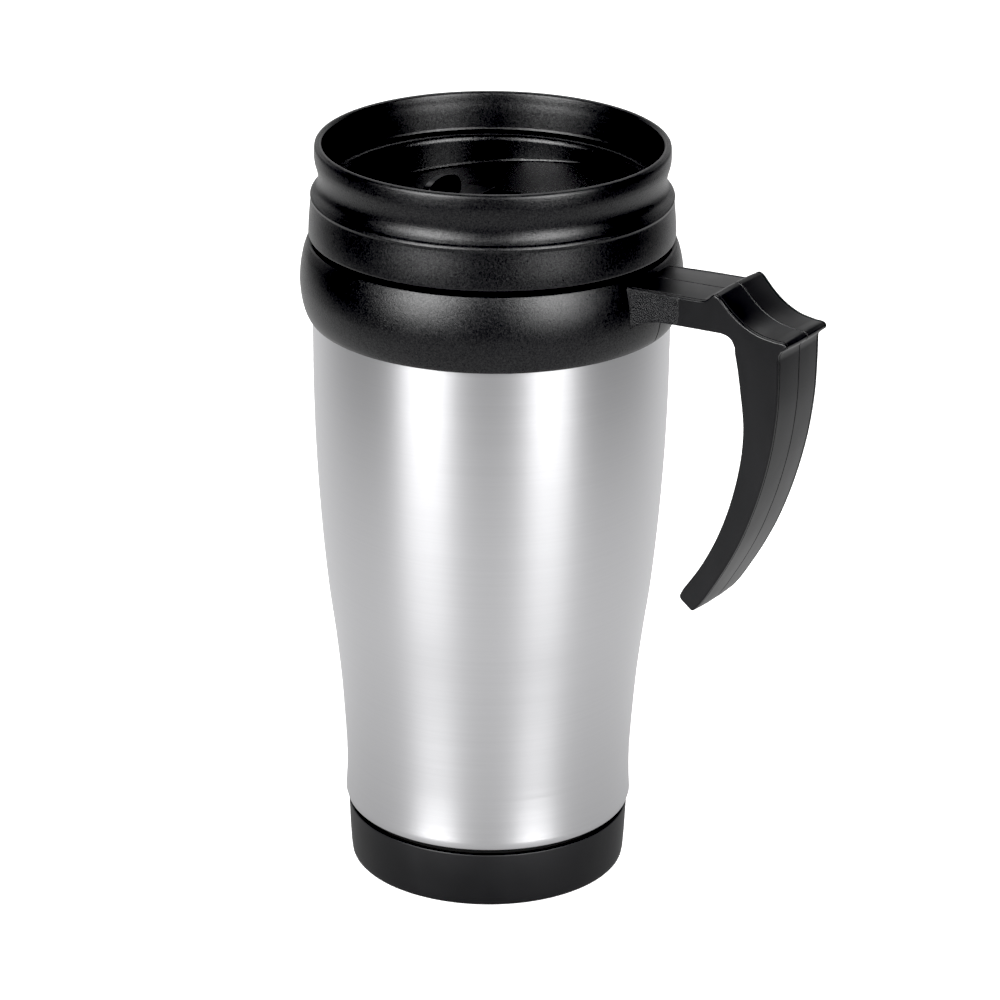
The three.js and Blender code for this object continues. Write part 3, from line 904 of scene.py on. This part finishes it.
class MUG_OT_closure(bpy.types.Operator):
    """Model the sliding sip closure with its thumb tab, and finish its clip and seal"""

    bl_idname = "mug.closure"
    bl_label = "Sip Closure"

    def execute(self, context):
        half = SLIDER_WIDTH / 2
        plate = block((SLIDER_TIP, -half, -0.5), (SLIDER_TIP + SLIDER_LENGTH, half, 0.9), rounding=0.3)
        low, high = -(half - 0.5), half - 1.5
        middle, reach = (high + low) / 2, (high - low) / 2
        turns = [pi * i / 24 for i in range(1, 24)]
        arc = [(middle - reach * cos(turn), 0.9 + 3.8 * sin(turn) ** 0.8) for turn in turns]
        draw([(low, 0), *arc, (high, 0)], depth=-0.8)
        fill(1)
        bpy.ops.mesh.extrude_region_move(TRANSFORM_OT_translate={"value": (0, 1.6 * MM, 0)})
        bpy.ops.mesh.inset(thickness=0.2 * MM, depth=0.2 * MM)
        select(lambda at, face: at.y < -0.79, "faces")
        bpy.ops.mesh.inset(thickness=0.2 * MM, depth=0.2 * MM)
        bpy.ops.mesh.select_all(action="SELECT")
        bpy.ops.mesh.normals_make_consistent(inside=False)
        tab = named("tab")
        tab.rotation_euler.z = pi / 2
        tab.location.x = TAB * MM
        bpy.ops.object.transform_apply(location=True, rotation=True, scale=True)
        neck = block((NECK - 1.8, -1.5, -4.2), (NECK + 1.8, 1.5, 0))
        barb = block((NECK - 2.7, -1.5, -4.7), (NECK + 2.7, 1.5, -3.85), rounding=0.2)
        combine(plate, tab, neck, barb)
        plate.name = plate.data.name = "sip_slider_moulding"
        tilt(plate)
        evened(plate)
        satin = satin_polypropylene("polished_polypropylene", roughness=0.26)
        settle(plate, satin, "satin_black", "slider")
        refinish(satin, "slider_clip")
        refinish(silicone_rubber(), "sip_seal")
        return {"FINISHED"}


# ------------------------------------------------------------------------------------------------
# Stage
# ------------------------------------------------------------------------------------------------

CAMERA_AZIMUTH = radians(33.15)
CAMERA_ELEVATION = radians(21.96)
CAMERA_DISTANCE = 0.988
CAMERA_ROLL = 0.009
CAMERA_TARGET = Vector((0.0019, 0.00125, 0.0886))


def round_the_mug(turn, elevation, distance):
    """A place seen from the mug, turned to the right of the camera, at an elevation."""
    angle = CAMERA_AZIMUTH - pi / 2 + radians(turn)
    level = cos(radians(elevation))
    offset = Vector((level * cos(angle), level * sin(angle), sin(radians(elevation))))
    return CAMERA_TARGET + offset * distance


def aim(thing, target):
    thing.rotation_euler = (target - thing.location).to_track_quat("-Z", "Y").to_euler()


class MUG_OT_stage(bpy.types.Operator):
    """Set the pale floor, the softboxes and the camera"""

    bl_idname = "mug.stage"
    bl_label = "Stage"

    def floor(self):
        """A white sweep. The camera sees it lit evenly; the mug sees it as a glowing oval of table in the dark, a
        painted pool of light that is darker close round the mug's foot, a painted shadow.
        """
        start_clean()
        bpy.ops.mesh.primitive_circle_add(vertices=96, radius=8, fill_type="NGON", location=(0, 0, 0))
        floor = bpy.context.object
        floor.name = "studio_floor"
        white, tree, shader = finish_named("white_sweep", linear("F4F4F4"), Roughness=0.9)
        shader.inputs["Emission Color"].default_value = (1, 1, 1, 1)
        shader.inputs["Emission Strength"].default_value = 0.85
        place = add(tree, "ShaderNodeTexCoord").outputs["Object"]
        turn = (0, 0, -CAMERA_AZIMUTH)
        turned = add(tree, "ShaderNodeMapping", links=[("Vector", place)], Rotation=turn)
        links = [("Vector", turned.outputs["Vector"])]
        table = {"Location": (0, -0.55, 0), "Scale": (1 / 0.52, 1 / 1.1, 1)}
        stretched = add(tree, "ShaderNodeMapping", vector_type="POINT", links=links, **table)
        links = [("Vector", stretched.outputs["Vector"])]
        reach = add(tree, "ShaderNodeVectorMath", operation="LENGTH", links=links).outputs["Value"]
        # Painted pool of light: the table glows only within an oval in front of the mug.
        lit = spread(tree, reach, 1, 0, start=0.85, end=1.1)
        links = [("Vector", place)]
        away = add(tree, "ShaderNodeVectorMath", operation="LENGTH", links=links).outputs["Value"]
        # Painted shadow: the glow falls from 0.88 to 0.5 within about 0.13 m of the mug.
        links = [(0, lit), (1, spread(tree, away, 0.5, 0.88, start=0.03, end=0.13))]
        glow = add(tree, "ShaderNodeMath", operation="MULTIPLY", links=links).outputs["Value"]
        table = add(tree, "ShaderNodeEmission", links=[("Strength", glow)])
        ray = add(tree, "ShaderNodeLightPath").outputs["Is Camera Ray"]
        links = [(0, ray), (1, table.outputs["Emission"]), (2, shader.outputs["BSDF"])]
        seen = add(tree, "ShaderNodeMixShader", links=links)
        output = next(n for n in tree.nodes if n.type == "OUTPUT_MATERIAL")
        tree.links.new(seen.outputs["Shader"], output.inputs["Surface"])
        floor.data.materials.append(white)

    def softbox(self, name, turn, elevation, distance, width, height, power):
        start_clean()
        bpy.ops.object.light_add(type="AREA", location=round_the_mug(turn, elevation, distance))
        lamp = bpy.context.object
        lamp.name = name
        lamp.data.shape = "RECTANGLE"
        lamp.data.size = width
        lamp.data.size_y = height
        lamp.data.energy = power
        aim(lamp, CAMERA_TARGET)

    def execute(self, context):
        self.floor()
        self.softbox("left_softbox", -41, 24, 1.3, 0.7, 1.1, 28)
        self.softbox("right_softbox", 37, 24, 1.3, 0.62, 1.1, 24)
        self.softbox("top_softbox", 178, 61, 1.4, 1.2, 0.9, 8)
        world = context.scene.world or bpy.data.worlds.new("studio")
        context.scene.world = world
        world.use_nodes = True
        tree = world.node_tree
        background = next(n for n in tree.nodes if n.type == "BACKGROUND")
        background.inputs["Color"].default_value = (1, 1, 1, 1)
        direction = add(tree, "ShaderNodeTexCoord").outputs["Generated"]
        away = add(tree, "ShaderNodeVectorMath", operation="DOT_PRODUCT", links=[(0, direction)])
        away.inputs[1].default_value = (-sin(CAMERA_AZIMUTH), cos(CAMERA_AZIMUTH), 0)
        backdrop = spread(tree, away.outputs["Value"], 0, 0.9, start=0.35, end=0.75)
        level = add(tree, "ShaderNodeSeparateXYZ", links=[("Vector", direction)]).outputs["Z"]
        links = [(0, backdrop), (1, spread(tree, level, 1, 0, start=0.25, end=0.5))]
        wall = add(tree, "ShaderNodeMath", operation="MULTIPLY", links=links).outputs["Value"]
        ray = add(tree, "ShaderNodeLightPath").outputs["Is Camera Ray"]
        links = [(0, wall), (1, ray)]
        strength = add(tree, "ShaderNodeMath", operation="MAXIMUM", links=links).outputs["Value"]
        tree.links.new(strength, background.inputs["Strength"])

        bpy.ops.object.camera_add()
        camera = context.object
        camera.data.lens = 154.2
        camera.data.clip_end = 50
        elevation = Vector((0, -cos(CAMERA_ELEVATION), sin(CAMERA_ELEVATION)))
        elevation.rotate(Quaternion((0, 0, 1), CAMERA_AZIMUTH))
        camera.location = CAMERA_TARGET + elevation * CAMERA_DISTANCE
        track = (-elevation).to_track_quat("-Z", "Y") @ Quaternion((0, 0, 1), CAMERA_ROLL)
        camera.rotation_euler = track.to_euler()
        context.scene.camera = camera
        view = context.scene.view_settings
        view.view_transform = "Standard"
        view.use_curve_mapping = True
        view.curve_mapping.black_level = (0.018, 0.018, 0.018)
        return {"FINISHED"}


OPERATORS = (
    MUG_OT_sleeve,
    MUG_OT_base,
    MUG_OT_liner,
    MUG_OT_collar,
    MUG_OT_handle,
    MUG_OT_lid,
    MUG_OT_closure,
    MUG_OT_stage,
)


class MUG_PT_pieces(bpy.types.Panel):
    """Lists the mug's sizes, colours and pieces"""

    bl_idname = "MUG_PT_pieces"
    bl_label = "Travel Mug"
    bl_space_type = "VIEW_3D"
    bl_region_type = "UI"
    bl_category = "Travel Mug"

    def draw(self, context):
        for group in (sizes(), colours()):
            for name in group.__annotations__:
                self.layout.prop(group, name)
        for operator in OPERATORS:
            self.layout.operator(operator.bl_idname)


CLASSES = (MugSizes, MugColours, *OPERATORS, MUG_PT_pieces)


def register():
    for cls in CLASSES:
        bpy.utils.register_class(cls)
    bpy.types.Scene.mug_sizes = PointerProperty(type=MugSizes)
    bpy.types.Scene.mug_colours = PointerProperty(type=MugColours)


def unregister():
    del bpy.types.Scene.mug_colours
    del bpy.types.Scene.mug_sizes
    for cls in reversed(CLASSES):
        bpy.utils.unregister_class(cls)


def main():
    register()
    for operator in OPERATORS:
        getattr(bpy.ops.mug, operator.bl_idname.split(".")[1])()


if __name__ == "__main__":
    main()
